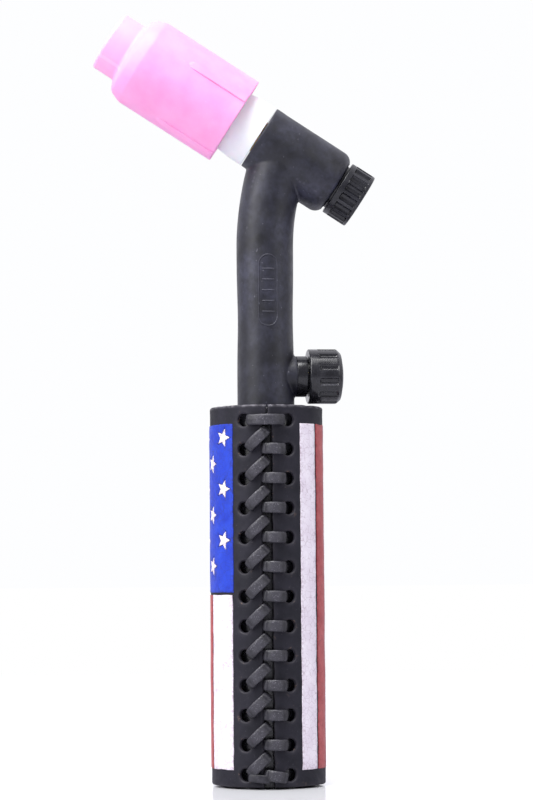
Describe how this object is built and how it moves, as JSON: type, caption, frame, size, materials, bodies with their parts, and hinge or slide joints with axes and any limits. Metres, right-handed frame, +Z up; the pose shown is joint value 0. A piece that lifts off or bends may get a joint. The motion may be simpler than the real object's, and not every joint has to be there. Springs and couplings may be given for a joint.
{
  "type": "tig torch",
  "caption": "Air-cooled TIG welding torch: tilted head with a gas lens in a ceramic cup, back cap, gas valve knob, and a handle wrapped in laced leather.",
  "frame": {"origin": "on the plane of the handle's rear end, under the middle of the torch's bounding box; the handle's axis is 8.5 mm towards +X from it", "axes": "+Z up along the handle to the head, -X the way the gas cup points, +X towards the valve knob and back cap, -Y the side with the laced seam"},
  "size_m": [0.0795, 0.0331, 0.2159],
  "materials": {
    "jacket_rubber": "satin",
    "phenolic": "gloss",
    "pink_ceramic": "satin",
    "white_ptfe": "satin",
    "brass": "satin",
    "copper": "satin",
    "steel_mesh": "satin",
    "tungsten": "satin",
    "seal": "satin",
    "wrap_leather": "satin",
    "lace_leather": "satin"
  },
  "bodies": {
    "torch_body": {"torch_jacket": "jacket_rubber", "head_sleeve": "brass", "neck_tube": "copper", "valve_block": "brass", "valve_bonnet": "phenolic", "tail_tube": "copper", "tail_fitting": "brass", "collet": "copper"},
    "handle": {"handle_tube": "phenolic", "leather_wrap": "wrap_leather", "lace": "lace_leather"},
    "valve_seal": {"valve_stem_o_ring": "seal"},
    "valve_knob": {"valve_knob": "phenolic", "valve_stem": "brass", "valve_knob_cap": "phenolic", "knob_screw": "brass"},
    "back_cap_seal": {"back_cap_o_ring": "seal"},
    "back_cap": {"back_cap": "phenolic", "back_cap_insert": "brass"},
    "front_insulator": {"cup_insulator": "white_ptfe"},
    "gas_lens": {"gas_lens_body": "brass", "gas_lens_screen_rear": "steel_mesh", "gas_lens_screen_middle": "steel_mesh", "gas_lens_screen_front": "steel_mesh", "screen_retaining_ring": "brass"},
    "gas_cup": {"gas_cup": "pink_ceramic"},
    "electrode": {"electrode": "tungsten"}
  },
  "joints": [
    {"name": "handle_slide", "type": "slide", "parent": "torch_body", "child": "handle", "axis": [0, 0, -1], "range_m": [0, 0.07]},
    {"name": "valve_travel", "type": "slide", "parent": "torch_body", "child": "valve_seal", "axis": [1, 0, 0], "range_m": [0, 0.002]},
    {"name": "valve_turn", "type": "hinge", "parent": "valve_seal", "child": "valve_knob", "pos_m": [0.0085, 0, 0.1139], "axis": [1, 0, 0], "range_deg": [0, 720]},
    {"name": "back_cap_travel", "type": "slide", "parent": "torch_body", "child": "back_cap_seal", "axis": [0.8434, 0, -0.5373], "range_m": [0, 0.00635]},
    {"name": "back_cap_turn", "type": "hinge", "parent": "back_cap_seal", "child": "back_cap", "pos_m": [0.0085, 0, 0.181], "axis": [0.8434, 0, -0.5373], "range_deg": [0, 1800]},
    {"name": "front_end_travel", "type": "slide", "parent": "torch_body", "child": "front_insulator", "axis": [-0.8434, 0, 0.5373], "range_m": [0, 0.00635]},
    {"name": "front_end_turn", "type": "hinge", "parent": "front_insulator", "child": "gas_lens", "pos_m": [0.0085, 0, 0.181], "axis": [-0.8434, 0, 0.5373], "range_deg": [0, 1800]},
    {"name": "gas_cup_off", "type": "slide", "parent": "gas_lens", "child": "gas_cup", "axis": [-0.8434, 0, 0.5373], "range_m": [0, 0.045]},
    {"name": "electrode_slide", "type": "slide", "parent": "torch_body", "child": "electrode", "axis": [-0.8434, 0, 0.5373], "range_m": [-0.004, 0.008]}
  ],
  "couplings": [
    {"joint": "valve_turn", "follows": "valve_travel", "rad_per_m": 6283.2},
    {"joint": "back_cap_turn", "follows": "back_cap_travel", "rad_per_m": 4947.4},
    {"joint": "front_end_turn", "follows": "front_end_travel", "rad_per_m": 4947.4}
  ]
}
